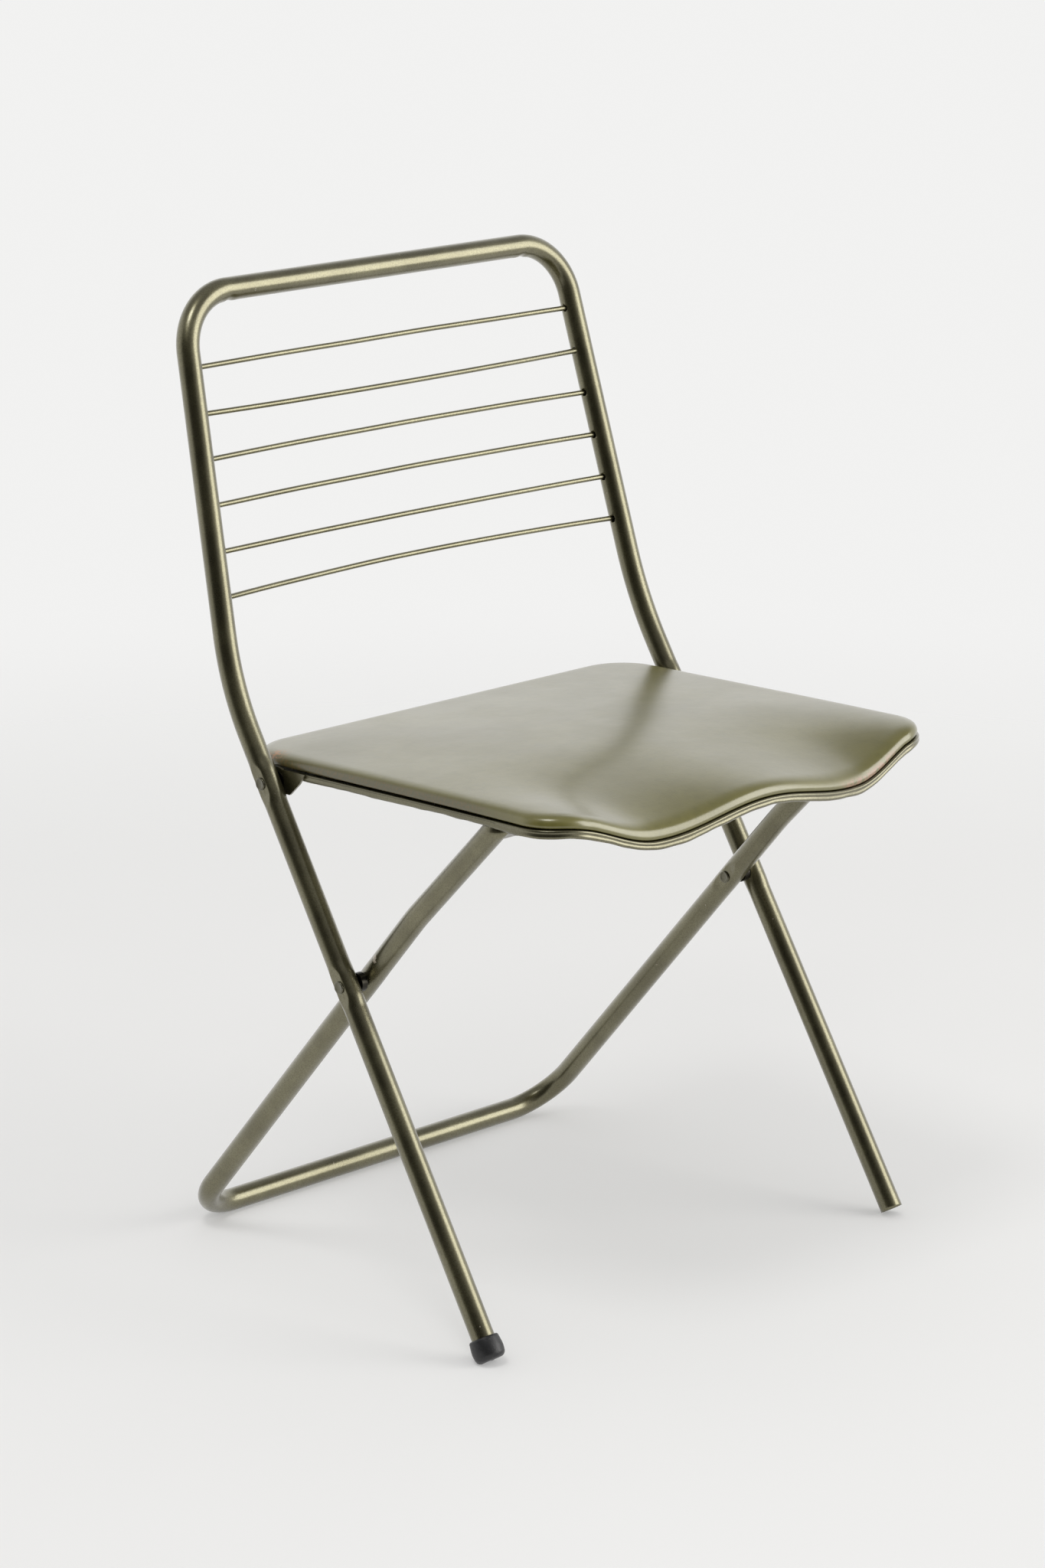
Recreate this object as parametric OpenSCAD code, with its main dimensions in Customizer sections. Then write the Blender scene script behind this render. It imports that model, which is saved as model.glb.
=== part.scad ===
// Folding chair: a bent tube back frame with six back wires, a U-shaped rear leg
// frame that crosses it, and a thin padded seat on a pressed steel pan.
// X runs across the chair, the front faces -Y, Z is up and the floor is z = 0.
// Y = 0 is the plane of the crossing pivots.

/* [Overall] */
// Height of the top bar above the floor
overall_height = 800; // [780:1:820]
// Outside diameter of the frame tube
tube_d = 19; // [18:0.5:20]
// Wall of the frame tube
tube_wall = 1.5; // [1.2:0.1:2]

/* [Back frame] */
// Half the distance between the front feet
foot_half = 235; // [230:1:240]
// Half the width of the back frame at its side bends
bend_half = 231; // [230:0.5:234]
// Half the width of the back frame at the top bar
top_half = 209.5; // [200:0.5:215]
// Lean of the front legs from the vertical, in degrees
front_lean = 32.4; // [32:0.1:33]
// Lean of the upper back from the vertical, in degrees
back_lean = 14.9; // [13:0.1:17]
// Height at which the leg and back lines meet
bend_z = 488; // [484:1:492]
// Centre-line radius of the side bends
bend_r = 265; // [150:5:270]
// Centre-line radius of the top corners
corner_r = 50; // [40:1:60]
// Radial thickness of the rubber ferrule
ferrule_wall = 3; // [2:0.5:4]

/* [Back wires] */
// Diameter of a back wire
wire_d = 4.5; // [4:0.25:6]
// Height of the top wire
wire_top_z = 734; // [725:1:740]
// Vertical distance between neighbouring wires
wire_step = 35.8; // [34:0.1:37]
// How far each wire is bowed to the rear, from the top wire down
wire_bows = [4.5, -8, 9, 9.7, 7, 18.5];

/* [Rear legs] */
// Half the distance between the rear leg planes
rear_half = 208; // [207:0.5:208.5]
// Distance of the floor bar behind the crossing pivots
bar_y = 225.5; // [220:0.5:230]
// Lean of the rear leg tops from the vertical, in degrees
top_lean = 44.4; // [43.5:0.1:45]
// Height of the slight bend in each rear leg
knee_z = 333; // [325:1:340]
// Centre-line radius of the floor corners
floor_corner_r = 45; // [35:1:55]
// Height of the tube centre at the top of a rear leg
leg_end_z = 430.2; // [429:0.1:430.5]
// Slope of the cut across the top of a rear leg, in degrees
leg_end_cut = 22; // [18:1:26]

/* [Pivots] */
// Height of the crossing pivots
crossing_z = 270; // [268:1:272]
// Height of the seat pivots
seat_pivot_z = 417.7; // [417:0.1:418.5]
// Diameter of a pivot rivet
rivet_d = 6; // [5:0.5:6]
// Diameter of a rivet head
rivet_head_d = 10; // [9:0.5:11]

/* [Seat] */
// Half the width of the seat pan
pan_half = 219.2; // [219:0.1:219.3]
// Rear edge of the seat pan
pan_rear = 148; // [144:1:150]
// Front edge of the seat pan
pan_front = -235; // [-238:1:-230]
// Thickness of the pan sheet
pan_sheet = 1.2; // [1:0.1:1.2]
// Height of the pan at Y = 0
pan_z = 431; // [430.8:0.1:431.5]
// Rise of the pan towards the front, in millimetres for each millimetre
pan_rise = 0.037; // [0.03:0.001:0.04]
// Depth of the two thigh hollows in the front edge
hollow_depth = 25; // [15:1:28]
// How far the middle of the front edge lies below the corners
ridge_drop = 10; // [5:1:14]
// Thickness of the seat board
board_t = 3; // [3:0.5:5]
// Thickness of the padding over the board
pad_t = 8; // [6:0.5:10]

/* [Hidden] */
$fn = 64;

paint = [0.36, 0.35, 0.22];
vinyl = [0.33, 0.34, 0.14];
steel = [0.55, 0.55, 0.52];
rubber = [0.05, 0.05, 0.05];
timber = [0.62, 0.47, 0.30];

tube_r = tube_d / 2;
bore_r = tube_r - tube_wall;
// Radial clearance of a turning rivet
running = 0.05;
// Each bend is this much thicker on both faces, and laps over the straight lengths
bend_swell = 0.05;
bend_lap = 0.3;
// Depth of the pressed flat under a rivet head
flat_depth = 1.6;
flat_r = 8;
head_rim = 0.5;
head_h = 1.9;

// ---- Lines of the frames ----

function leg_y(z) = (z - crossing_z) * tan(front_lean);
function leg_x(z) = foot_half + (bend_half - foot_half) * z / bend_z;
function back_y(z) = leg_y(bend_z) + (z - bend_z) * tan(back_lean);
bar_z = overall_height - tube_r;
function back_x(z) = bend_half + (top_half - bend_half) * (z - bend_z) / (bar_z - bend_z);
seat_pivot_y = leg_y(seat_pivot_z);

// The bare foot is cut square, and its rear edge stands on the floor
bare_end_z = tube_r * sin(front_lean);
// The ferrule is worn flat where it stands
ferrule_r = tube_r + ferrule_wall;
ferrule_base = 4;
ferrule_h = 22;
ferrule_round = 5;
ferrule_wear = 1.5;
ferrule_base_z = (ferrule_r - ferrule_round) * sin(front_lean)
    + ferrule_round * (1 - cos(front_lean)) - ferrule_wear;
capped_end_z = ferrule_base_z + ferrule_base * cos(front_lean);

function foot_point(side, z) = [side * leg_x(z), leg_y(z), z];
function bend_point(side) = [side * bend_half, leg_y(bend_z), bend_z];
function corner_point(side) = [side * top_half, back_y(bar_z), bar_z];

back_path = [
    foot_point(-1, capped_end_z), bend_point(-1), corner_point(-1),
    corner_point(1), bend_point(1), foot_point(1, bare_end_z)
];
back_radii = [0, bend_r, corner_r, corner_r, bend_r, 0];

rear_lean = atan(bar_y / (crossing_z - tube_r));
knee_y = -(knee_z - crossing_z) * tan(rear_lean);
knee_r = 240;
// The leg tops run past their end, and a sloping cut trims them
leg_end_y = knee_y - (leg_end_z - knee_z) * tan(top_lean);
over_run = 14;
function floor_point(side) = [side * rear_half, bar_y, tube_r];
function knee_point(side) = [side * rear_half, knee_y, knee_z];
function top_point(side) = [
    side * rear_half,
    leg_end_y - over_run * sin(top_lean),
    leg_end_z + over_run * cos(top_lean)
];
rear_path = [
    top_point(-1), knee_point(-1), floor_point(-1),
    floor_point(1), knee_point(1), top_point(1)
];
rear_radii = [0, knee_r, floor_corner_r, floor_corner_r, knee_r, 0];

slider_d = 8;
slider_drop = 20;
slider_y = leg_end_y + slider_drop * sin(top_lean);
slider_z = leg_end_z - slider_drop * cos(top_lean);

// ---- Tools for tubes ----

function unit(v) = v / norm(v);
// Facets in a full turn that give a short sweep at least twelve of its own
function fine(sweep) = max(64, ceil(12 * 360 / sweep));
function turn(a, b, c) = acos(unit(b - a) * unit(c - b));
function setback(a, b, c, r) = r * tan(turn(a, b, c) / 2);

// Places children with their own X and Y axes along x and y
module place(origin, x, y) {
    z = cross(x, y);
    multmatrix([
        [x[0], y[0], z[0], origin[0]],
        [x[1], y[1], z[1], origin[1]],
        [x[2], y[2], z[2], origin[2]],
        [0, 0, 0, 1]
    ]) children();
}

// Turns the Z axis of children along v
module along(v) {
    rotate([0, acos(v[2] / norm(v)), atan2(v[1], v[0])]) children();
}

module wall_section(outer, inner) {
    difference() {
        circle(outer, $fn = 64);
        circle(inner, $fn = 64);
    }
}

module straight(a, b, outer, inner) {
    translate(a) along(b - a) linear_extrude(norm(b - a)) wall_section(outer, inner);
}

module bend(a, b, c, r, outer, inner) {
    d = unit(b - a);
    e = unit(c - b);
    side = unit(e - d * (e * d));
    start = b - d * setback(a, b, c, r);
    sweep = turn(a, b, c);
    lap = bend_lap / r * 180 / PI;
    place(start + side * r, -side, d) rotate([0, 0, -lap])
        rotate_extrude(angle = sweep + 2 * lap, $fn = fine(sweep))
            translate([r, 0]) wall_section(outer + bend_swell, inner - bend_swell);
}

// A tube along a line of points, with a bend of the stated radius at each inner point
module tube_path(points, radii, outer, inner) {
    last = len(points) - 1;
    for (i = [0 : last - 1]) {
        d = unit(points[i + 1] - points[i]);
        from = i == 0 ? 0 : setback(points[i - 1], points[i], points[i + 1], radii[i]);
        to = i == last - 1 ? 0
            : setback(points[i], points[i + 1], points[i + 2], radii[i + 1]);
        straight(points[i] + d * from, points[i + 1] - d * to, outer, inner);
    }
    for (i = [1 : last - 1])
        bend(points[i - 1], points[i], points[i + 1], radii[i], outer, inner);
}

// A cylinder along X that reaches from x0 to x1 on either side of the chair
module cross_pin(side, x0, x1, y, z, r) {
    low = side > 0 ? x0 : -x1;
    translate([low, y, z]) rotate([0, 90, 0]) cylinder(h = x1 - x0, r = r);
}

// Half the profile of a domed rivet head that sits on the X axis
module head_profile() {
    dome = head_h - head_rim;
    ball = (pow(rivet_head_d / 2, 2) + pow(dome, 2)) / (2 * dome);
    square([rivet_head_d / 2, head_rim + 0.1]);
    intersection() {
        translate([0, head_h - ball]) circle(ball, $fn = 240);
        translate([0, head_rim]) square([rivet_head_d / 2, head_h]);
    }
}

// A rivet along X whose domed head sits on the plane x1, with a domed or flat head at x0
module rivet(side, x0, x1, y, z, flat_head) {
    grip = x1 - x0;
    translate([side * x0, y, z]) rotate([0, 90 * side, 0]) rotate_extrude() {
        translate([0, -0.2]) square([rivet_d / 2, grip + 0.4]);
        translate([0, grip]) head_profile();
        if (flat_head > 0) square([rivet_head_d / 2, flat_head]);
        else mirror([0, 1]) head_profile();
    }
}

// Thickens the wall of a tube behind the flat that is then pressed into it
module flat_backing(side, face, y, z, lean, x_tube) {
    deep = flat_depth + tube_wall;
    intersection() {
        cross_pin(side, face > 0 ? x_tube + tube_r - deep : x_tube - tube_r + 0.4,
                  face > 0 ? x_tube + tube_r - 0.4 : x_tube - tube_r + deep,
                  y, z, flat_r + 1);
        translate([side * x_tube, y, z]) rotate([-lean, 0, 0])
            translate([0, 0, -20]) cylinder(h = 40, r = tube_r - 0.3);
    }
}

// The flat itself, on the face of the tube that looks outward (1) or inward (-1)
module flat_recess(side, face, y, z, x_tube) {
    x = x_tube + face * tube_r;
    cross_pin(side, x - flat_depth, x + flat_depth, y, z, flat_r);
}

// ---- Back frame ----

// Radius of the hole that a wire enters the tube by
wire_hole_r = wire_d / 2 + 1.5;
function wire_z(i) = wire_top_z - i * wire_step;

module wire_hole(side, z) {
    x = back_x(z);
    cross_pin(side, x - tube_r - 1, x, back_y(z), z, wire_hole_r);
}

module back_frame_tube() {
    color(paint) {
        difference() {
            union() {
                tube_path(back_path, back_radii, tube_r, bore_r);
                for (side = [-1, 1], z = [crossing_z, seat_pivot_z])
                    flat_backing(side, 1, leg_y(z), z, front_lean, leg_x(z));
            }
            for (side = [-1, 1]) {
                for (i = [0 : 5]) wire_hole(side, wire_z(i));
                for (z = [crossing_z, seat_pivot_z]) {
                    flat_recess(side, 1, leg_y(z), z, leg_x(z));
                    cross_pin(side, rear_half, leg_x(z) + 20, leg_y(z), z, rivet_d / 2);
                }
            }
        }
    }
}

// A wire is an arc in a level plane between the two sides of the back
module back_wire(i) {
    z = wire_z(i);
    half = back_x(z) - tube_r + 3.5;
    bow = wire_bows[i];
    depth = abs(bow);
    r = (half * half + depth * depth) / (2 * depth);
    sweep = 2 * asin(half / r);
    centre_y = back_y(z) + sign(bow) * (depth - r);
    start = bow > 0 ? 90 - sweep / 2 : 270 - sweep / 2;
    color(paint) translate([0, centre_y, z]) rotate([0, 0, start])
        rotate_extrude(angle = sweep, $fn = fine(sweep))
            translate([r, 0]) circle(wire_d / 2, $fn = 32);
}
module back_wire_1() { back_wire(0); }
module back_wire_2() { back_wire(1); }
module back_wire_3() { back_wire(2); }
module back_wire_4() { back_wire(3); }
module back_wire_5() { back_wire(4); }
module back_wire_6() { back_wire(5); }

module foot_ferrule_left() {
    lip = 1;
    color(rubber) difference() {
        translate(foot_point(-1, ferrule_base_z)) along(bend_point(-1) - foot_point(-1, 0))
            rotate_extrude() difference() {
                union() {
                    translate([0, ferrule_round]) square([ferrule_r, ferrule_h - ferrule_round - lip]);
                    square([ferrule_r - ferrule_round, ferrule_h]);
                    square([ferrule_r - lip, ferrule_h]);
                    translate([ferrule_r - ferrule_round, ferrule_round]) circle(ferrule_round);
                }
                difference() {
                    translate([ferrule_r - ferrule_round, 0]) square(ferrule_round);
                    translate([ferrule_r - ferrule_round, ferrule_round]) circle(ferrule_round);
                }
                translate([0, ferrule_base]) square([tube_r, ferrule_h]);
                translate([-20, -20]) square([20, 60]);
            }
        translate([-foot_half - 50, leg_y(0) - 50, -50]) cube([100, 100, 50]);
    }
}

// ---- Pivots ----

spacer_x0 = rear_half + tube_r + 0.1;
spacer_x1 = leg_x(crossing_z) - tube_r - 0.2;
lug_t = 2;
lug_x0 = pan_half;
lug_x1 = pan_half + lug_t;
inner_head_t = 1;
inner_head_x = pan_half - inner_head_t;

module crossing_rivet(side) {
    outer_x = leg_x(crossing_z) + tube_r - flat_depth;
    inner_x = rear_half - tube_r + flat_depth;
    color(steel) rivet(side, inner_x, outer_x, 0, crossing_z, 0);
}
module crossing_rivet_left() { crossing_rivet(-1); }
module crossing_rivet_right() { crossing_rivet(1); }

module crossing_spacer(side) {
    color(steel) difference() {
        cross_pin(side, spacer_x0, spacer_x1, 0, crossing_z, 8);
        cross_pin(side, spacer_x0 - 1, spacer_x1 + 1, 0, crossing_z, rivet_d / 2);
    }
}
module crossing_spacer_left() { crossing_spacer(-1); }
module crossing_spacer_right() { crossing_spacer(1); }

module seat_rivet(side) {
    outer_x = leg_x(seat_pivot_z) + tube_r - flat_depth;
    color(steel) rivet(side, inner_head_x, outer_x, seat_pivot_y, seat_pivot_z,
                       lug_x0 - running - inner_head_x);
}
module seat_rivet_left() { seat_rivet(-1); }
module seat_rivet_right() { seat_rivet(1); }

module seat_washer(side) {
    x0 = lug_x1 + running;
    x1 = leg_x(seat_pivot_z) - tube_r - 0.15;
    color(steel) difference() {
        cross_pin(side, x0, x1, seat_pivot_y, seat_pivot_z, 7);
        cross_pin(side, x0 - 1, x1 + 1, seat_pivot_y, seat_pivot_z, rivet_d / 2);
    }
}
module seat_washer_left() { seat_washer(-1); }
module seat_washer_right() { seat_washer(1); }

// ---- Rear legs ----

// The highest point of a leg top lies on the upper rear line of the tube
cut_y = leg_end_y + tube_r * cos(top_lean) + 2.05 * tan(top_lean);
cut_z = leg_end_z + tube_r * sin(top_lean) - 2.05;

module rear_leg_tube() {
    color(paint) {
        difference() {
            union() {
                tube_path(rear_path, rear_radii, tube_r, bore_r);
                for (side = [-1, 1])
                    flat_backing(side, -1, 0, crossing_z, -rear_lean, rear_half);
            }
            translate([-300, cut_y, cut_z]) rotate([leg_end_cut, 0, 0])
                translate([0, -60, 0]) cube([600, 70, 40]);
            for (side = [-1, 1]) {
                flat_recess(side, -1, 0, crossing_z, rear_half);
                cross_pin(side, 180, 230, 0, crossing_z, rivet_d / 2 + running);
                cross_pin(side, 180, rear_half, slider_y, slider_z, slider_d / 2);
            }
        }
    }
}

module slider_rod() {
    reach = rear_half - 2;
    color(steel) translate([-reach, slider_y, slider_z]) rotate([0, 90, 0])
        cylinder(h = 2 * reach, r = slider_d / 2);
}

// ---- Seat surface ----

function smooth(t) = t <= 0 ? 0 : t >= 1 ? 1 : t * t;
// The front edge has a ridge in the middle, a hollow on either side, and raised corners
hollow_x = 115;
rim_x = 205;
function wave(x) = abs(x) < hollow_x
    ? -hollow_depth + (hollow_depth - ridge_drop) * (1 + cos(180 * abs(x) / hollow_x)) / 2
    : -hollow_depth * (1 + cos(180 * min(abs(x) - hollow_x, rim_x - hollow_x)
                              / (rim_x - hollow_x))) / 2;
wave_start = -50;
function pan_height(x, y) = pan_z - pan_rise * y
    + wave(x) * smooth((y - wave_start) / (pan_front - wave_start));

// ---- Seat outline ----

rear_r = 45;
front_r = 40;
front_bow = 15;
seat_mid_y = (pan_rear + pan_front) / 2;
arc_steps = 7;

function arc(cx, cy, r, a0, a1) = [
    for (i = [0 : arc_steps]) let (a = a0 + (a1 - a0) * i / arc_steps)
        [cx + r * cos(a), cy + r * sin(a)]
];
function between(a, b, n) = [for (i = [1 : n - 1]) a + (b - a) * i / n];

// The outline, anticlockwise from the right-hand side, drawn in by inset all round
function outline(inset) = let (
        w = pan_half - inset,
        rr = rear_r - inset,
        fr = front_r - inset,
        yr = pan_rear - inset,
        yf = pan_front + front_bow + inset
    ) concat(
        between([w, yf + fr], [w, yr - rr], 8),
        arc(w - rr, yr - rr, rr, 0, 90),
        between([w - rr, yr], [rr - w, yr], 8),
        arc(rr - w, yr - rr, rr, 90, 180),
        between([-w, yr - rr], [-w, yf + fr], 8),
        arc(fr - w, yf + fr, fr, 180, 270),
        [for (p = between([fr - w, yf], [w - fr, yf], 36))
            [p[0], yf - front_bow * (1 - pow(p[0] / (w - fr), 2))]],
        arc(w - fr, yf + fr, fr, 270, 360)
    );

// One closed loop of the seat: the outline, drawn in by inset, shrunk towards the
// middle by scale and lifted above the pan by the height that lift gives
function loop(inset, scale, lift) = [
    for (p = outline(inset))
        let (x = p[0] * scale, y = seat_mid_y + (p[1] - seat_mid_y) * scale)
            [x, y, pan_height(x, y) + lift(x, y)]
];

// A closed solid through loops that run from the middle of its top round to the
// middle of its underside
module skin(loops, top_lift, base_lift) {
    n = len(loops[0]);
    count = len(loops);
    mid_z = pan_height(0, seat_mid_y);
    points = concat(
        [for (one = loops) each one],
        [[0, seat_mid_y, mid_z + top_lift], [0, seat_mid_y, mid_z + base_lift]]
    );
    top = n * count;
    base = top + 1;
    last = n * (count - 1);
    faces = concat(
        [for (j = [0 : n - 1]) [top, (j + 1) % n, j]],
        [for (i = [0 : count - 2], j = [0 : n - 1]) let (a = i * n, k = (j + 1) % n)
            [a + j, a + k, a + n + k]],
        [for (i = [0 : count - 2], j = [0 : n - 1]) let (a = i * n, k = (j + 1) % n)
            [a + j, a + n + k, a + n + j]],
        [for (j = [0 : n - 1]) [base, last + j, last + (j + 1) % n]]
    );
    polyhedron(points, faces);
}

rings = [0.2, 0.4, 0.55, 0.68, 0.79, 0.88, 0.95];
rings_back = [0.95, 0.88, 0.79, 0.68, 0.55, 0.4, 0.2];
function level(h) = function (x, y) h;

// ---- Seat parts ----

// The turned-down edge is deeper round the front than along the sides
side_flange = 7;
front_flange = 9;
step_y = -165;
step_run = 14;
function flange(y) = front_flange - (front_flange - side_flange)
    * min(1, max(0, (y - step_y) / step_run));
function flange_lift() = function (x, y) -flange(y);

screw_r = 1.9;
screw_spots = [for (x = [-140, 0, 140], y = [-120, 95]) [x, y]];

module seat_pan() {
    edge = 2.4;
    color(paint) difference() {
        skin(concat(
            [for (s = rings) loop(edge, s, level(0))],
            [
                loop(edge, 1, level(0)),
                loop(0.7, 1, level(-0.7)),
                loop(0, 1, level(-edge)),
                loop(0, 1, flange_lift()),
                loop(pan_sheet, 1, flange_lift()),
                loop(pan_sheet, 1, level(-edge - 0.3)),
                loop(edge, 1, level(-pan_sheet))
            ],
            [for (s = rings_back) loop(edge, s, level(-pan_sheet))]
        ), 0, -pan_sheet);
        for (side = [-1, 1])
            cross_pin(side, inner_head_x - 2, pan_half + 1, seat_pivot_y, seat_pivot_z, 7);
        for (p = screw_spots)
            translate([p[0], p[1], pan_z - 20]) cylinder(h = 40, r = screw_r + 0.3);
    }
}

module hinge_lug(side) {
    y = seat_pivot_y;
    z = seat_pivot_z;
    low = side > 0 ? lug_x0 : -lug_x1;
    color(paint) translate([low, 0, 0]) rotate([90, 0, 90]) linear_extrude(lug_t)
        difference() {
            union() {
                translate([y, z]) circle(10.5);
                polygon([
                    [y + 10.5, z], [y + 10.5, z + 8.6], [y - 32, z + 10.2],
                    [y - 25, z + 0.7], [y - 13.7, z - 10], [y, z - 10.5]
                ]);
            }
            translate([y, z]) circle(rivet_d / 2 + running);
        }
}
module hinge_lug_left() { hinge_lug(-1); }
module hinge_lug_right() { hinge_lug(1); }

// A strip on edge under the pan. Its lower edge slides on the rod, and its hooked
// front end stops the rod and holds the chair open
guide_x = 186;
guide_t = 2;
guide_rear = 30;
function guide_top(y) = pan_height(guide_x, y) - pan_sheet - 0.35;
module leg_guide(side) {
    rod_top = slider_z + slider_d / 2 + 0.3;
    hook_rear = slider_y - slider_d / 2 - 0.3;
    hook_front = hook_rear - 5;
    low = side > 0 ? guide_x - guide_t : -guide_x;
    color(paint) translate([low, 0, 0]) rotate([90, 0, 90]) linear_extrude(guide_t)
        polygon(concat(
            [[guide_rear, rod_top], [guide_rear, guide_top(guide_rear)]],
            [for (y = [-20 : -30 : hook_front]) [y, guide_top(y)]],
            [
                [hook_front, guide_top(hook_front)],
                [hook_front, slider_z - 1],
                [hook_rear, slider_z - 1],
                [hook_rear, rod_top]
            ]
        ));
}
module leg_guide_left() { leg_guide(-1); }
module leg_guide_right() { leg_guide(1); }

// Clear gap between one seat layer and the next
layer_gap = 0.7;
board_inset = 15;
board_top = layer_gap + board_t;
module seat_board() {
    color(timber) difference() {
        skin(concat(
            [for (s = rings) loop(board_inset, s, level(board_top))],
            [
                loop(board_inset, 1, level(board_top)),
                loop(board_inset, 1, level(layer_gap))
            ],
            [for (s = rings_back) loop(board_inset, s, level(layer_gap))]
        ), board_top, layer_gap);
        for (p = screw_spots)
            translate([p[0], p[1], pan_height(p[0], p[1]) - 5])
                cylinder(h = 5 + board_top - 1, r = screw_r);
    }
}

module seat_screws() {
    head_h = 1.4;
    color(steel) for (p = screw_spots)
        translate([p[0], p[1], pan_height(p[0], p[1]) - pan_sheet - 0.3]) {
            translate([0, 0, -head_h]) cylinder(h = head_h, r = 3.8);
            translate([0, 0, -0.1]) cylinder(h = pan_sheet + board_t - 0.4, r = screw_r);
        }
}

// The padding and its cover wrap the edge of the board
pad_inset = 5;
pad_base = 0.8;
crown = 3;
pad_top = board_top + layer_gap + pad_t;
module seat_pad() {
    wrap = board_inset + 6;
    clear = board_inset - 0.4;
    color(vinyl) skin(concat(
        [
            loop(pad_inset + 4, 0.3, level(pad_top)),
            loop(pad_inset + 4, 0.55, level(pad_top - 0.3)),
            loop(pad_inset + 4, 0.75, level(pad_top - 0.8)),
            loop(pad_inset + 4, 0.9, level(pad_top - 1.7)),
            loop(pad_inset + 4, 1, level(pad_top - crown)),
            loop(pad_inset + 1.2, 1, level(pad_top - crown - 1.6)),
            loop(pad_inset, 1, level(pad_top - crown - 4.2)),
            loop(pad_inset + 1, 1, level(pad_base + 1.2)),
            loop(pad_inset + 3, 1, level(pad_base)),
            loop(clear, 1, level(pad_base)),
            loop(clear, 1, level(board_top + layer_gap))
        ],
        [for (s = rings_back) loop(clear, s, level(board_top + layer_gap))]
    ), pad_top, board_top + layer_gap);
}

back_frame_tube();
back_wire_1();
back_wire_2();
back_wire_3();
back_wire_4();
back_wire_5();
back_wire_6();
foot_ferrule_left();
crossing_rivet_left();
crossing_rivet_right();
crossing_spacer_left();
crossing_spacer_right();
seat_rivet_left();
seat_rivet_right();
seat_washer_left();
seat_washer_right();
rear_leg_tube();
slider_rod();
seat_pan();
hinge_lug_left();
hinge_lug_right();
leg_guide_left();
leg_guide_right();
seat_board();
seat_screws();
seat_pad();
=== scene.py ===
"""The looks of the folding chair: bent tubes, back wires, steel pan, vinyl pad, floor and light."""
import math

import bmesh
import bpy
import numpy as np
from mathutils import Matrix, Vector, noise


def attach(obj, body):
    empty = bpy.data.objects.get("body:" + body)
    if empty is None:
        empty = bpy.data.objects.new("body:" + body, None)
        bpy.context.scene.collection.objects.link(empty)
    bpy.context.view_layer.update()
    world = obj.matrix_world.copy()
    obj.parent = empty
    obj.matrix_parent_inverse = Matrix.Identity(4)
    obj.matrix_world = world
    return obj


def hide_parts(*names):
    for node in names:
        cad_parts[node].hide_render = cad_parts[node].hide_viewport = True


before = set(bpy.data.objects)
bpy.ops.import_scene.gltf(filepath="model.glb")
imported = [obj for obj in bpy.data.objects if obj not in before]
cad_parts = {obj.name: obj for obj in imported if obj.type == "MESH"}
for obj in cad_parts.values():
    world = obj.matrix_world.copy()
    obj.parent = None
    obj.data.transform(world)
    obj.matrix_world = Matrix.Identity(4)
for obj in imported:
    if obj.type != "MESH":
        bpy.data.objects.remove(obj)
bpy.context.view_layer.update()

MM = 0.001


def tan(degrees):
    return math.tan(math.radians(degrees))


def smoothstep(low, high, value):
    t = np.clip((np.asarray(value, float) - low) / (high - low), 0, 1)
    return t * t * (3 - 2 * t)


# ---- Dimensions in millimetres, as part.scad has them unless a note says otherwise ----

TUBE_R, BORE_R = 9.5, 8.0
FOOT_HALF, BEND_HALF, TOP_HALF = 235, 231, 209.5
FRONT_LEAN, BACK_LEAN = 32.4, 14.9
BEND_Z, BAR_Z = 488, 790.5
BEND_R, CORNER_R = 265, 50
CROSSING_Z, SEAT_PIVOT_Z = 270, 417.7
WIRE_R, WIRE_TOP_Z, WIRE_STEP = 2.25, 734, 35.8
WIRE_BOWS = (4.5, -8, 9, 9.7, 7, 18.5)
HOLE_R = 2.8  # tighter round the wire than in part.scad
REAR_HALF, BAR_Y = 208, 225.5
TOP_LEAN, KNEE_Z, KNEE_R, FLOOR_CORNER_R = 44.4, 333, 240, 45
LEG_END_Z, LEG_END_CUT = 430.2, 22
FLAT_DEPTH = 1.6
PAN_HALF, PAN_REAR, PAN_FRONT, PAN_Z, PAN_RISE = 219.2, 148, -235, 431, 0.037
HOLLOW_DEPTH, RIDGE_DROP = 25, 10
PAD_INSET, PAD_TOP, CROWN = 5, 12.4, 3
FERRULE_R, FERRULE_H = 12.7, 18.5  # 0.2 wider and 3.5 shorter than in part.scad

# Mesh of a tube: points round it, steps between rings, and how far fine steps reach from a feature
TUBE_SIDES, RING_STEP, FINE_STEP, FINE_REACH = 72, 2.5, 0.7, 24


def leg_y(z):
    return (z - CROSSING_Z) * tan(FRONT_LEAN)


def leg_x(z):
    return FOOT_HALF + (BEND_HALF - FOOT_HALF) * z / BEND_Z


def back_y(z):
    return leg_y(BEND_Z) + (z - BEND_Z) * tan(BACK_LEAN)


def back_x(z):
    return BEND_HALF + (TOP_HALF - BEND_HALF) * (z - BEND_Z) / (BAR_Z - BEND_Z)


SEAT_PIVOT_Y = leg_y(SEAT_PIVOT_Z)
REAR_LEAN = math.degrees(math.atan(BAR_Y / (CROSSING_Z - TUBE_R)))
KNEE_Y = -(KNEE_Z - CROSSING_Z) * tan(REAR_LEAN)
LEG_END_Y = KNEE_Y - (LEG_END_Z - KNEE_Z) * tan(TOP_LEAN)


# ---- Node materials ----

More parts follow.
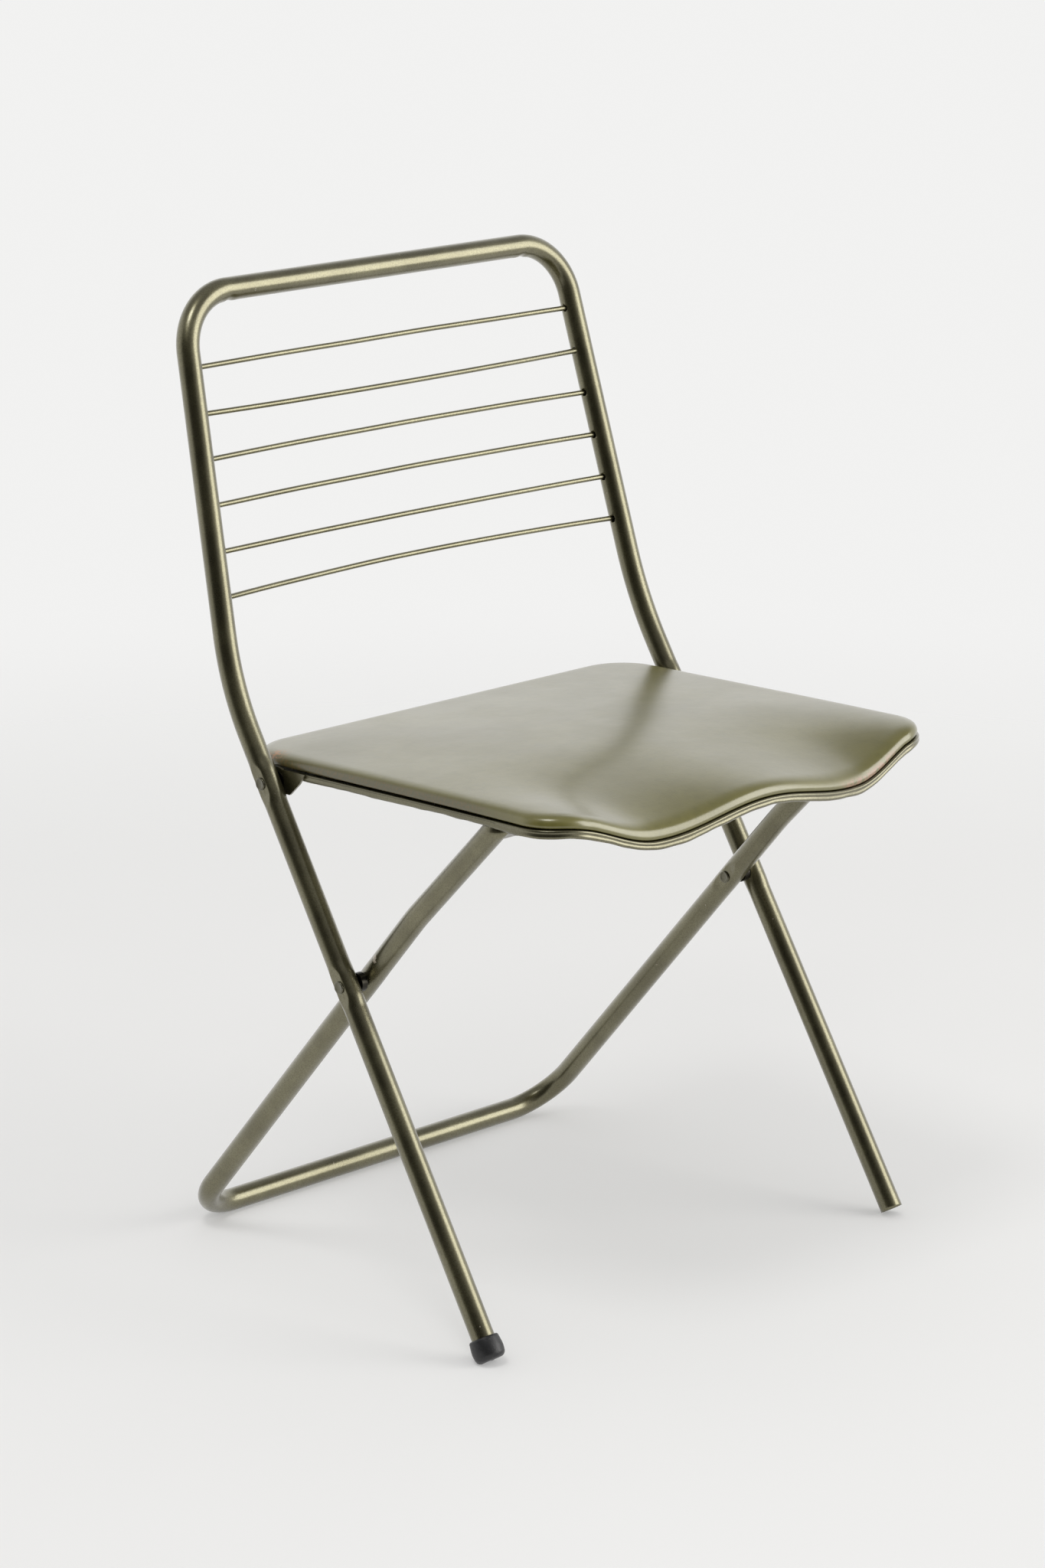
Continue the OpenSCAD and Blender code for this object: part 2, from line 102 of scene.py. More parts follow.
class Nodes:
    """Builds one material's node tree in few words."""

    def __init__(self, name):
        self.material = bpy.data.materials.new(name)
        self.material.use_nodes = True
        self.tree = self.material.node_tree
        self.shader = self.tree.nodes["Principled BSDF"]
        self.place = self.add("ShaderNodeTexCoord").outputs["Object"]

    def add(self, kind, **settings):
        node = self.tree.nodes.new(kind)
        for key, value in settings.items():
            setattr(node, key, value)
        return node

    def put(self, socket, value):
        """Links a socket to value, or sets it where value is a number or a colour."""
        if isinstance(value, bpy.types.NodeSocket):
            self.tree.links.new(value, socket)
        elif isinstance(value, (tuple, list)) and len(value) == 3 and len(socket.default_value) == 4:
            socket.default_value = (*value, 1)
        else:
            socket.default_value = value

    def stretched(self, scale):
        node = self.add("ShaderNodeMapping")
        self.put(node.inputs["Vector"], self.place)
        node.inputs["Scale"].default_value = scale
        return node.outputs["Vector"]

    def noise(self, scale, detail=3, rough=0.5, vector=None):
        node = self.add("ShaderNodeTexNoise")
        self.put(node.inputs["Vector"], vector or self.place)
        node.inputs["Scale"].default_value = scale
        node.inputs["Detail"].default_value = detail
        node.inputs["Roughness"].default_value = rough
        return node.outputs["Fac"]

    def cells(self, scale, feature="F1", vector=None):
        node = self.add("ShaderNodeTexVoronoi", feature=feature)
        self.put(node.inputs["Vector"], vector or self.place)
        node.inputs["Scale"].default_value = scale
        return node.outputs["Distance"]

    def step(self, value, low, high, out_low=0.0, out_high=1.0):
        node = self.add("ShaderNodeMapRange", interpolation_type="SMOOTHSTEP")
        self.put(node.inputs["Value"], value)
        node.inputs["From Min"].default_value = low
        node.inputs["From Max"].default_value = high
        node.inputs["To Min"].default_value = out_low
        node.inputs["To Max"].default_value = out_high
        return node.outputs["Result"]

    def math(self, operation, a, b=0.0):
        node = self.add("ShaderNodeMath", operation=operation)
        self.put(node.inputs[0], a)
        self.put(node.inputs[1], b)
        return node.outputs[0]

    def mix(self, factor, a, b):
        node = self.add("ShaderNodeMix", data_type="RGBA")
        self.put(node.inputs["Factor"], factor)
        self.put(node.inputs["A"], a)
        self.put(node.inputs["B"], b)
        return node.outputs["Result"]

    def attribute(self, name):
        node = self.add("ShaderNodeAttribute", attribute_name=name)
        return node.outputs["Fac"]

    def bump(self, height, strength, distance, under=None):
        node = self.add("ShaderNodeBump")
        self.put(node.inputs["Height"], height)
        node.inputs["Strength"].default_value = strength
        node.inputs["Distance"].default_value = distance
        if under is not None:
            self.put(node.inputs["Normal"], under)
        return node.outputs["Normal"]

    def set(self, **values):
        for name, value in values.items():
            self.put(self.shader.inputs[name.replace("_", " ")], value)
        return self.material


def paint_material(name, tint=1.0, grain=0.14):
    """Olive metallic enamel: fleck, cloudy tone, small chips, and bare metal where "wear" is high."""
    n = Nodes(name)
    cloud = n.noise(22, 4, 0.6)
    fleck = n.noise(900, 3, 0.75)
    light = tuple(c * tint for c in (0.182, 0.168, 0.088))
    dark = tuple(c * tint for c in (0.132, 0.120, 0.058))
    base = n.mix(n.step(cloud, 0.35, 0.65), dark, light)
    base = n.mix(n.step(fleck, 0.42, 0.64, 0, 0.6), base, tuple(c * tint for c in (0.085, 0.072, 0.030)))
    grime = n.step(n.noise(60, 6, 0.75), 0.60, 0.78, 0, 0.4)
    base = n.mix(grime, base, (0.075, 0.058, 0.028))
    chips = n.step(n.noise(170, 3, 0.65), 0.735, 0.75)
    worn = n.step(n.math("MULTIPLY", n.attribute("wear"), n.noise(260, 4, 0.7)), 0.36, 0.46)
    bare = n.math("MAXIMUM", chips, worn)
    bare_tone = n.mix(n.noise(300, 3), (0.55, 0.53, 0.46), (0.30, 0.21, 0.13))
    rough = n.math("ADD", n.step(cloud, 0.3, 0.7, 0.22, 0.30), n.math("MULTIPLY", fleck, 0.10))
    orange_peel = n.bump(n.noise(330, 2), 0.10, 0.0006, n.bump(fleck, grain, 0.0002))
    normal = n.bump(n.math("SUBTRACT", 1.0, bare), 0.35, 0.00015, orange_peel)
    return n.set(Base_Color=n.mix(bare, base, bare_tone), Metallic=n.step(bare, 0, 1, 0.95, 0.35),
                 Roughness=n.math("ADD", rough, n.math("MULTIPLY", bare, 0.2)),
                 Normal=normal, Coat_Weight=1.0, Coat_Roughness=0.24, Coat_IOR=1.62)


def vinyl_material():
    """Satin olive vinyl: fine grain, mottled tone, painted shade and browning on the sides, peeled and
    rusty spots.
    """
    n = Nodes("olive vinyl")
    cloud = n.noise(9, 4, 0.55)
    base = n.mix(n.step(cloud, 0.3, 0.7), (0.098, 0.088, 0.014), (0.130, 0.118, 0.024))
    mottle = n.step(n.noise(120, 4, 0.7), 0.45, 0.7, 0, 0.35)
    base = n.mix(mottle, base, (0.072, 0.070, 0.010))
    # The "edge" attribute marks the pad's lower side roll. There shade is painted, darkening the roll
    # nearly to black, and the vinyl is browned in spots.
    edge = n.attribute("edge")
    base = n.mix(n.math("MULTIPLY", edge, 0.75), base, (0.036, 0.032, 0.012))
    brown = n.math("MULTIPLY", edge, n.step(n.noise(420, 4, 0.7), 0.48, 0.60))
    base = n.mix(n.math("MULTIPLY", brown, 0.7), base, (0.115, 0.072, 0.020))
    peel = n.math("MULTIPLY", n.attribute("peel"), n.step(n.noise(150, 4, 0.65), 0.40, 0.52))
    base = n.mix(n.math("MULTIPLY", peel, 0.75), base, (0.30, 0.155, 0.10))
    rust = n.math("MULTIPLY", n.attribute("rust"), n.step(n.noise(380, 4, 0.7), 0.45, 0.58))
    base = n.mix(n.math("MULTIPLY", rust, 0.8), base, (0.38, 0.16, 0.05))
    grain = n.bump(n.cells(950), 0.10, 0.0004)
    pebble = n.bump(n.noise(420, 3, 0.6), 0.10, 0.0005, grain)
    soft = n.bump(n.noise(28, 3, 0.5), 0.10, 0.004, pebble)
    marks = n.math("MAXIMUM", peel, n.math("MAXIMUM", rust, brown))
    rough = n.math("ADD", n.step(n.noise(14, 4, 0.6), 0.3, 0.7, 0.33, 0.41),
                   n.math("MULTIPLY", marks, 0.22))
    return n.set(Base_Color=base, Roughness=rough, Normal=soft, IOR=1.55, Specular_Tint=(0.95, 0.90, 0.62),
                 Coat_Weight=1.0, Coat_Roughness=0.24, Coat_IOR=1.65)


def rubber_material():
    """Black rubber with dust and scuffs."""
    n = Nodes("black rubber")
    dust = n.step(n.noise(45, 5, 0.7), 0.50, 0.72, 0, 0.5)
    base = n.mix(dust, (0.012, 0.012, 0.013), (0.060, 0.058, 0.054))
    scuff = n.step(n.noise(260, 3, 0.6, n.stretched((1, 1, 4))), 0.66, 0.72, 0, 0.6)
    base = n.mix(scuff, base, (0.14, 0.135, 0.125))
    normal = n.bump(n.noise(900, 3, 0.7), 0.5, 0.0004, n.bump(n.noise(150, 3), 0.35, 0.0010))
    return n.set(Base_Color=base, Roughness=n.step(dust, 0, 0.5, 0.36, 0.60), Normal=normal)


def steel_material(name, base, rust_share):
    """Cloudy bare steel with specks of rust."""
    n = Nodes(name)
    cloud = n.noise(160, 4, 0.6)
    tone = n.mix(n.step(cloud, 0.35, 0.65), tuple(c * 0.75 for c in base), base)
    rust = n.step(n.noise(240, 5, 0.7), 0.72 - rust_share, 0.80 - rust_share)
    tone = n.mix(rust, tone, (0.23, 0.11, 0.05))
    normal = n.bump(n.noise(900, 3, 0.6), 0.12, 0.0003)
    return n.set(Base_Color=tone, Metallic=n.step(rust, 0, 1, 0.95, 0.15),
                 Roughness=n.step(rust, 0, 1, 0.34, 0.75), Normal=normal)


def wood_material():
    """Unfinished board with grain along X."""
    n = Nodes("raw board")
    rings = n.noise(14, 5, 0.6, n.stretched((1, 14, 14)))
    base = n.mix(n.step(rings, 0.35, 0.65), (0.42, 0.27, 0.14), (0.62, 0.45, 0.27))
    return n.set(Base_Color=base, Roughness=0.75, Normal=n.bump(rings, 0.3, 0.0008))


def floor_material():
    """White floor that fades into the white surround, with a faint glow that keeps shadows light."""
    n = Nodes("studio floor")
    tone = n.mix(n.step(n.noise(0.8, 3), 0.35, 0.65), (0.555, 0.552, 0.547), (0.572, 0.570, 0.565))
    distance = n.add("ShaderNodeVectorMath", operation="LENGTH")
    n.put(distance.inputs[0], n.place)
    return n.set(Base_Color=tone, Roughness=0.85, Specular_IOR_Level=0.1,
                 Emission_Color=(1.0, 1.0, 1.0), Emission_Strength=0.26,
                 Alpha=n.step(distance.outputs["Value"], 1.0, 2.3, 1, 0))


PAINT = paint_material("olive enamel")
PAN_PAINT = paint_material("olive enamel on sheet", 0.92)
VINYL = vinyl_material()
RUBBER = rubber_material()
RIVET = paint_material("rivet enamel", 0.6)
WIRE_PAINT = paint_material("olive enamel on wire", 1.15, 0.03)
# Painted shade: near-black steel, with specks of rust, for the spacers and washers that sit in the shade
# between the tubes.
SHADE_DARK_STEEL = steel_material("steel darkened as painted shade", (0.035, 0.032, 0.025), 0.04)
PLATED = steel_material("dull plated steel", (0.52, 0.51, 0.48), 0.05)
WOOD = wood_material()
FLOOR = floor_material()


# ---- Meshes ----

def mesh_object(name, points, faces, material, smooth=True):
    """A mesh from points in millimetres."""
    mesh = bpy.data.meshes.new(name)
    mesh.from_pydata([tuple(p) for p in np.asarray(points) * MM], [], faces)
    mesh.validate()
    bm = bmesh.new()
    bm.from_mesh(mesh)
    bmesh.ops.recalc_face_normals(bm, faces=bm.faces)
    bm.to_mesh(mesh)
    bm.free()
    mesh.materials.append(material)
    mesh.polygons.foreach_set("use_smooth", [smooth] * len(mesh.polygons))
    obj = bpy.data.objects.new(name, mesh)
    bpy.context.scene.collection.objects.link(obj)
    return obj


def set_attribute(obj, name, values):
    """Stores a number for each point, which a material reads by name."""
    layer = obj.data.attributes.new(name, "FLOAT", "POINT")
    layer.data.foreach_set("value", np.asarray(values, np.float32))


def grid_faces(rings, around):
    """Quads between rings of points that follow one another."""
    faces = []
    for i in range(rings - 1):
        a, b = i * around, (i + 1) * around
        faces += [(a + j, a + (j + 1) % around, b + (j + 1) % around, b + j)
                  for j in range(around)]
    return faces


class Path:
    """A line of straight lengths and arcs, in millimetres, walked by distance."""

    def __init__(self, corners, radii):
        corners = [np.array(c, float) for c in corners]
        self.pieces, start = [], corners[0]
        for i in range(1, len(corners) - 1):
            d = corners[i] - corners[i - 1]
            e = corners[i + 1] - corners[i]
            d, e = d / np.linalg.norm(d), e / np.linalg.norm(e)
            sweep = math.acos(d @ e)
            back = radii[i] * math.tan(sweep / 2)
            inward = e - d * (e @ d)
            inward /= np.linalg.norm(inward)
            a = corners[i] - d * back
            self.pieces.append(("line", start, d, np.linalg.norm(a - start)))
            self.pieces.append(("arc", a, d, radii[i] * sweep, inward, radii[i]))
            start = corners[i] + e * back
        d = corners[-1] - start
        self.pieces.append(("line", start, d / np.linalg.norm(d), np.linalg.norm(d)))
        self.length = sum(p[3] for p in self.pieces)

    def at(self, s):
        """The point and the direction at a distance."""
        for piece in self.pieces:
            if s <= piece[3] + 1e-9 or piece is self.pieces[-1]:
                if piece[0] == "line":
                    return piece[1] + piece[2] * s, piece[2]
                _, a, d, _, inward, r = piece
                t = s / r
                point = a + r * (d * math.sin(t) + inward * (1 - math.cos(t)))
                way = d * math.cos(t) + inward * math.sin(t)
                return point, way
            s -= piece[3]

    def distance_to(self, point):
        """Distance along the path of the place nearest to point."""
        steps = np.arange(0, self.length, 1.0)
        gaps = [np.linalg.norm(self.at(s)[0] - point) for s in steps]
        return steps[int(np.argmin(gaps))]

    def stations(self, coarse, fine, features, reach):
        """Distances for rings: coarse ones, and fine ones within reach of each feature."""
        marks = set(np.round(np.linspace(0, self.length, int(self.length / coarse) + 2), 3))
        for f in features:
            for s in np.arange(f - reach, f + reach, fine):
                if 0 < s < self.length:
                    marks.add(round(float(s), 3))
        marks = sorted(marks)
        kept = [marks[0]]
        for s in marks[1:-1]:
            if s - kept[-1] > 0.45 * fine:
                kept.append(s)
        if marks[-1] - kept[-1] < 0.45 * fine:
            kept.pop()
        return kept + [marks[-1]]


def sweep_tube(name, path, stations, outer, inner, around, material, shape=None, ends=None):
    """A tube wall swept along a path. shape moves the outer points, ends cuts the two end rings."""
    frames, normal = [], None
    for s in stations:
        point, way = path.at(s)
        if normal is None:
            normal = np.array([1.0, 0, 0]) if abs(way[0]) < 0.9 else np.array([0, 1.0, 0])
        normal = normal - way * (normal @ way)
        normal /= np.linalg.norm(normal)
        frames.append((point, way, normal, np.cross(way, normal)))
    angles = np.arange(around) * 2 * math.pi / around
    walls = []
    for radius in (outer, inner):
        rings = np.array([[p + radius * (math.cos(t) * n + math.sin(t) * b) for t in angles]
                          for p, _, n, b in frames])
        walls.append(rings)
    if ends:
        for wall in walls:
            for index, cut in ((0, ends[0]), (-1, ends[1])):
                if cut is None:
                    continue
                place, face = cut
                way = frames[index][1]
                wall[index] += np.outer(((place - wall[index]) @ face) / (way @ face), way)
    if shape is not None:
        walls[0] = shape(walls[0], frames)
    count = len(stations) * around
    points = np.vstack([w.reshape(-1, 3) for w in walls])
    faces = grid_faces(len(stations), around)
    last = count - around
    faces += [tuple(count + k for k in reversed(f)) for f in grid_faces(len(stations), around)]
    for base in (0, last):
        faces += [(base + j, base + (j + 1) % around, count + base + (j + 1) % around,
                   count + base + j) for j in range(around)]
    return mesh_object(name, points, faces, material)


# Along the tube a rivet's flat is whole up to FLAT_WHOLE from the pin, and gone at FLAT_GONE
FLAT_WHOLE, FLAT_GONE, FLAT_NEAR, FLAT_SLACK = 8, 21, 30, 0.05
# How much wider fore and aft a squashed tube gets, as a share
FRONT_WIDENING, REAR_WIDENING = 0.09, 0.02


def press_flat(points, side, face, pivot_y, pivot_z, tube_x, lean, widening):
    """Squashes a tube at a rivet: flat on the face under the head, and wider fore and aft."""
    points = points.copy()
    dy, dz = points[..., 1] - pivot_y, points[..., 2] - pivot_z
    up = np.array([math.sin(math.radians(lean)), math.cos(math.radians(lean))])
    along = dy * up[0] + dz * up[1]
    across = dy * up[1] - dz * up[0]
    squash = smoothstep(FLAT_GONE, FLAT_WHOLE, np.abs(along))
    near = (np.hypot(dy, dz) < FLAT_NEAR) & (points[..., 0] * side > 0)
    out = (points[..., 0] * side - tube_x) * face
    limit = TUBE_R + FLAT_SLACK - (FLAT_DEPTH + FLAT_SLACK) * squash
    pressed = np.where(out > 0, np.minimum(out, limit), out)
    points[..., 0] = np.where(near, (tube_x + pressed * face) * side, points[..., 0])
    wider = across * widening * squash
    points[..., 1] = np.where(near, points[..., 1] + wider * up[1], points[..., 1])
    points[..., 2] = np.where(near, points[..., 2] - wider * up[0], points[..., 2])
    return points


def boolean_cut(obj, cutters):
    """Cuts holes in a piece's mesh, and removes the cutters."""
    for cutter in cutters:
        cutter.hide_render = True
    joined = cutters[0]
    with bpy.context.temp_override(active_object=joined, selected_editable_objects=cutters):
        bpy.ops.object.join()
    modifier = obj.modifiers.new("holes", "BOOLEAN")
    modifier.operation, modifier.object, modifier.solver = "DIFFERENCE", joined, "EXACT"
    bpy.context.view_layer.update()
    cut = bpy.data.meshes.new_from_object(obj.evaluated_get(bpy.context.evaluated_depsgraph_get()))
    obj.modifiers.clear()
    obj.data = cut
    bpy.data.objects.remove(joined)
    for polygon in cut.polygons:
        polygon.use_smooth = True


def pin_along_x(name, x0, x1, y, z, r, around=32):
    """A plain cylinder along X, for cutting."""
    points, faces = [], []
    for x in (x0, x1):
        points += [(x, y + r * math.cos(t), z + r * math.sin(t))
                   for t in np.arange(around) * 2 * math.pi / around]
    faces = grid_faces(2, around) + [tuple(range(around)), tuple(range(around, 2 * around))]
    return mesh_object(name, points, faces, PAINT)


# ---- Back frame ----

BARE_END_Z = TUBE_R * math.sin(math.radians(FRONT_LEAN))
back_path = Path(
    [(-leg_x(12), leg_y(12), 12), (-BEND_HALF, leg_y(BEND_Z), BEND_Z),
     (-TOP_HALF, back_y(BAR_Z), BAR_Z), (TOP_HALF, back_y(BAR_Z), BAR_Z),
     (BEND_HALF, leg_y(BEND_Z), BEND_Z), (leg_x(BARE_END_Z), leg_y(BARE_END_Z), BARE_END_Z)],
    [0, BEND_R, CORNER_R, CORNER_R, BEND_R, 0])

# Each top corner has a crease on its inside, CREASE_OFF before the bend ends, and a bulge beside it
CREASE_OFF, CREASE_DEPTH, CREASE_WIDTH = 4, 0.5, 2.6
BULGE_OFF, BULGE_HEIGHT, BULGE_WIDTH = 7, 0.25, 3.5
CREASE_X = TOP_HALF - CORNER_R + CREASE_OFF


def shape_back(points, frames):
    """Presses the rivet flats, and creases the inside of the two top corners as bending did."""
    for side in (-1, 1):
        for z in (CROSSING_Z, SEAT_PIVOT_Z):
            points = press_flat(points, side, 1, leg_y(z), z, leg_x(z), FRONT_LEAN,
                                FRONT_WIDENING)
    centres = np.array([f[0] for f in frames])[:, None, :]
    below = np.clip((centres[..., 2] - points[..., 2]) / TUBE_R, 0, 1) ** 2
    gap = np.abs(np.abs(centres[..., 0]) - CREASE_X)
    near_bar = centres[..., 2] > BAR_Z - 12
    crease = -CREASE_DEPTH * np.exp(-((gap - 1) / CREASE_WIDTH) ** 2)
    crease = crease + BULGE_HEIGHT * np.exp(-((gap - BULGE_OFF) / BULGE_WIDTH) ** 2)
    lift = np.where(near_bar, crease * below, 0)
    out = (points - centres) / TUBE_R
    return points + out * lift[..., None]


rivet_spots = [back_path.distance_to(np.array([s * leg_x(z), leg_y(z), z]))
              for s in (-1, 1) for z in (CROSSING_Z, SEAT_PIVOT_Z)]
wire_zs = [WIRE_TOP_Z - i * WIRE_STEP for i in range(6)]
crease_spots = [back_path.distance_to(np.array([s * CREASE_X, back_y(BAR_Z), BAR_Z]))
                for s in (-1, 1)]
stations = back_path.stations(RING_STEP, FINE_STEP, rivet_spots + crease_spots, FINE_REACH)
back_tube = sweep_tube("back_tube", back_path, stations, TUBE_R, BORE_R, TUBE_SIDES, PAINT,
                       shape_back)
boolean_cut(back_tube, [
    pin_along_x("cut", s * (back_x(z) - TUBE_R - 2), s * back_x(z), back_y(z), z, HOLE_R)
    for s in (-1, 1) for z in wire_zs])
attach(back_tube, "back_frame")
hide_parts("back_frame_tube")

WIRE_RINGS, WIRE_SIDES = 90, 24
WIRE_RIPPLE, RIPPLE_LENGTH = 0.35, 90


def back_wire(index, z, bow):
    """A bowed wire between the uprights, a little uneven in height."""
    half = back_x(z) + BORE_R - 0.4
    xs = np.linspace(-half, half, WIRE_RINGS)
    centre = np.stack([xs, back_y(z) + bow * (1 - (xs / half) ** 2), np.full_like(xs, z)], 1)
    ripple = np.array([noise.noise(Vector((x / RIPPLE_LENGTH, index * 7.3, 0))) for x in xs])
    centre[:, 2] += WIRE_RIPPLE * ripple * (1 - (xs / half) ** 2)
    ts = np.arange(WIRE_SIDES) * 2 * math.pi / WIRE_SIDES
    slope = np.gradient(centre[:, 1], xs)
    points = []
    for c, m in zip(centre, slope):
        across = np.array([-m, 1, 0]) / math.hypot(m, 1)
        points += [c + WIRE_R * (math.cos(t) * across + math.sin(t) * np.array([0, 0, 1])) for t in ts]
    last = (WIRE_RINGS - 1) * WIRE_SIDES
    ends = [tuple(range(WIRE_SIDES)), tuple(range(last, last + WIRE_SIDES))]
    return mesh_object(f"wire_{index + 1}", points, grid_faces(WIRE_RINGS, WIRE_SIDES) + ends, WIRE_PAINT)


for i, z in enumerate(wire_zs):
    wire = back_wire(i, z, WIRE_BOWS[i])
    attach(wire, "back_frame")
    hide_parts(f"back_wire_{i + 1}")


# ---- Rivets: a dished head with a raised rim at each end of the pin ----

# Section of a head from its middle out and back to the pin, as (radius, height)
HEAD_SIDES = 48
HEAD = ((0.01, 0.95), (1.6, 1.0), (3.0, 1.15), (3.8, 1.42), (4.3, 1.5), (4.75, 1.36), (5.05, 0.95),
        (5.15, 0.4), (5.0, -0.15), (3.05, -0.2))


def rivet(name, side, x0, x1, y, z, inner_head):
    """A pin along X from x0 to x1 with a head on its outer end, and inner_head times one inside."""
    profile = [(r, x1 + h) for r, h in HEAD]
    profile += [(r, x0 - h * inner_head) for r, h in reversed(HEAD)]
    points = []
    for r, x in profile:
        for t in np.arange(HEAD_SIDES) * 2 * math.pi / HEAD_SIDES:
            points.append((side * x, y + r * math.cos(t), z + r * math.sin(t)))
    obj = mesh_object(name, points, grid_faces(len(profile), HEAD_SIDES), RIVET)
    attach(obj, "back_frame")
    return obj


for side, word in ((-1, "left"), (1, "right")):
    piece = rivet(f"crossing_head_{word}", side, REAR_HALF - TUBE_R + FLAT_DEPTH,
                  leg_x(CROSSING_Z) + TUBE_R - FLAT_DEPTH, 0, CROSSING_Z, 1)
    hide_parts(f"crossing_rivet_{word}")
    piece = rivet(f"seat_head_{word}", side, PAN_HALF - 0.1,
                  leg_x(SEAT_PIVOT_Z) + TUBE_R - FLAT_DEPTH, SEAT_PIVOT_Y, SEAT_PIVOT_Z, 0.5)
    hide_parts(f"seat_rivet_{word}")


# ---- Rear legs ----

# The tube runs on past the leg's end before it is cut, and has no rings where the cut passes
OVER_RUN, CUT_REACH = 14, 20
sin_t, cos_t = math.sin(math.radians(TOP_LEAN)), math.cos(math.radians(TOP_LEAN))
rear_corners = []
for s in (-1, 1):
    run = [(s * REAR_HALF, LEG_END_Y - OVER_RUN * sin_t, LEG_END_Z + OVER_RUN * cos_t),
           (s * REAR_HALF, KNEE_Y, KNEE_Z), (s * REAR_HALF, BAR_Y, TUBE_R)]
    rear_corners += run if s < 0 else run[::-1]
rear_path = Path(rear_corners, [0, KNEE_R, FLOOR_CORNER_R, FLOOR_CORNER_R, KNEE_R, 0])
CUT_DROP = 2.05
cut_place = np.array([0, LEG_END_Y + TUBE_R * cos_t + CUT_DROP * tan(TOP_LEAN),
                      LEG_END_Z + TUBE_R * sin_t - CUT_DROP])
cut_face = np.array([0, -math.sin(math.radians(LEG_END_CUT)), math.cos(math.radians(LEG_END_CUT))])


def shape_rear(points, frames):
    """Presses the rivet flats."""
    for side in (-1, 1):
        points = press_flat(points, side, -1, 0, CROSSING_Z, REAR_HALF, -REAR_LEAN,
                            REAR_WIDENING)
    return points


rivet_spots = [rear_path.distance_to(np.array([s * REAR_HALF, 0, CROSSING_Z])) for s in (-1, 1)]
stations = [s for s in rear_path.stations(RING_STEP, FINE_STEP, rivet_spots, FINE_REACH)
            if s in (0, rear_path.length) or CUT_REACH < s < rear_path.length - CUT_REACH]
rear_tube = sweep_tube("rear_leg_tube_smooth", rear_path, stations, TUBE_R, BORE_R, TUBE_SIDES, PAINT,
                       shape_rear, ((cut_place, cut_face), (cut_place, cut_face)))
co = np.array([v.co for v in rear_tube.data.vertices]) / MM
CHIP, CHIP_SIZE = np.array([-216, -15, 292]), 5.5
set_attribute(rear_tube, "wear", 1.1 * np.exp(-(np.linalg.norm(co - CHIP, axis=1) / CHIP_SIZE) ** 2))
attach(rear_tube, "rear_legs")
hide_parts("rear_leg_tube")


# ---- Ferrule ----

foot_axis = np.array([FOOT_HALF - BEND_HALF, leg_y(BEND_Z) - leg_y(0), BEND_Z], float)
foot_axis /= np.linalg.norm(foot_axis)
FERRULE_ROUND, FERRULE_WEAR, FERRULE_DENT, FERRULE_SIDES = 5, 1.5, 0.12, 72
MOUTH_R, MOUTH_ROUND = FERRULE_R - 2.4, 1.8
base_z = ((FERRULE_R - FERRULE_ROUND) * math.sin(math.radians(FRONT_LEAN))
          + FERRULE_ROUND * (1 - math.cos(math.radians(FRONT_LEAN))) - FERRULE_WEAR)
base = np.array([-leg_x(base_z), leg_y(base_z), base_z])


def ferrule_profile():
    """Section from the middle of the base, round the side and over the mouth, as (radius, height)."""
    profile = [(0.01, 0)]
    profile += [(FERRULE_R - FERRULE_ROUND + FERRULE_ROUND * math.sin(t),
                 FERRULE_ROUND - FERRULE_ROUND * math.cos(t)) for t in np.linspace(0, math.pi / 2, 12)]
    profile += [(FERRULE_R + 0.3, 8), (FERRULE_R + 0.2, 11), (FERRULE_R - 0.4, FERRULE_H - 3.2)]
    profile += [(MOUTH_R + MOUTH_ROUND * math.cos(t), FERRULE_H - MOUTH_ROUND + MOUTH_ROUND * math.sin(t))
                for t in np.linspace(0.1, math.pi / 2, 7)]
    return profile + [(TUBE_R + 0.9, FERRULE_H), (TUBE_R + 0.25, FERRULE_H - 0.5),
                      (TUBE_R + 0.05, FERRULE_H - 2)]


# Below WORN_BELOW the rubber is worn flat against the floor
WORN_BELOW, WORN_SHARE = 0.6, 0.3
across = np.cross(foot_axis, [1, 0, 0])
across /= np.linalg.norm(across)
side_way = np.cross(across, foot_axis)
profile, points = ferrule_profile(), []
for r, h in profile:
    for t in np.arange(FERRULE_SIDES) * 2 * math.pi / FERRULE_SIDES:
        dent = FERRULE_DENT * noise.noise(Vector((math.cos(t) * 2, math.sin(t) * 2, h / 6)))
        reach = max(r + dent * min(r / FERRULE_R, 1), 0.01)
        p = base + foot_axis * h + reach * (math.cos(t) * side_way + math.sin(t) * across)
        if p[2] < WORN_BELOW:
            p[2] = max(0.0, p[2] * WORN_SHARE)
        points.append(p)
ferrule = mesh_object("rubber_ferrule", points,
                      grid_faces(len(profile), FERRULE_SIDES) + [tuple(range(FERRULE_SIDES))], RUBBER)
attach(ferrule, "back_frame")
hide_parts("foot_ferrule_left")


# ---- Seat surface and outline ----

SEAT_MID_Y = (PAN_REAR + PAN_FRONT) / 2
HOLLOW_X, RIM_X, WAVE_START = 115, 205, -50
FRONT_SETTLE = 1.2  # how much lower the front edge of pan and pad lies than in part.scad
REAR_R, FRONT_R, FRONT_BOW = 45, 40, 15
FLANGE_FRONT, FLANGE_LESS, FLANGE_STEP_Y, FLANGE_STEP = 8.3, 1.3, -165, 14


def wave(x):
    """How far the front edge dips at x: a low ridge in the middle, and a hollow at each side."""
    x = np.abs(x)
    inner = -HOLLOW_DEPTH + (HOLLOW_DEPTH - RIDGE_DROP) * (1 + np.cos(np.pi * x / HOLLOW_X)) / 2
    t = np.minimum(x - HOLLOW_X, RIM_X - HOLLOW_X) / (RIM_X - HOLLOW_X)
    return np.where(x < HOLLOW_X, inner, -HOLLOW_DEPTH * (1 + np.cos(np.pi * t)) / 2)


def pan_height(x, y):
    """Height of the surface that pan and pad follow, which takes up the front wave from WAVE_START."""
    t = np.clip((y - WAVE_START) / (PAN_FRONT - WAVE_START), 0, 1)
    return PAN_Z - PAN_RISE * y + (wave(x) - FRONT_SETTLE) * t * t


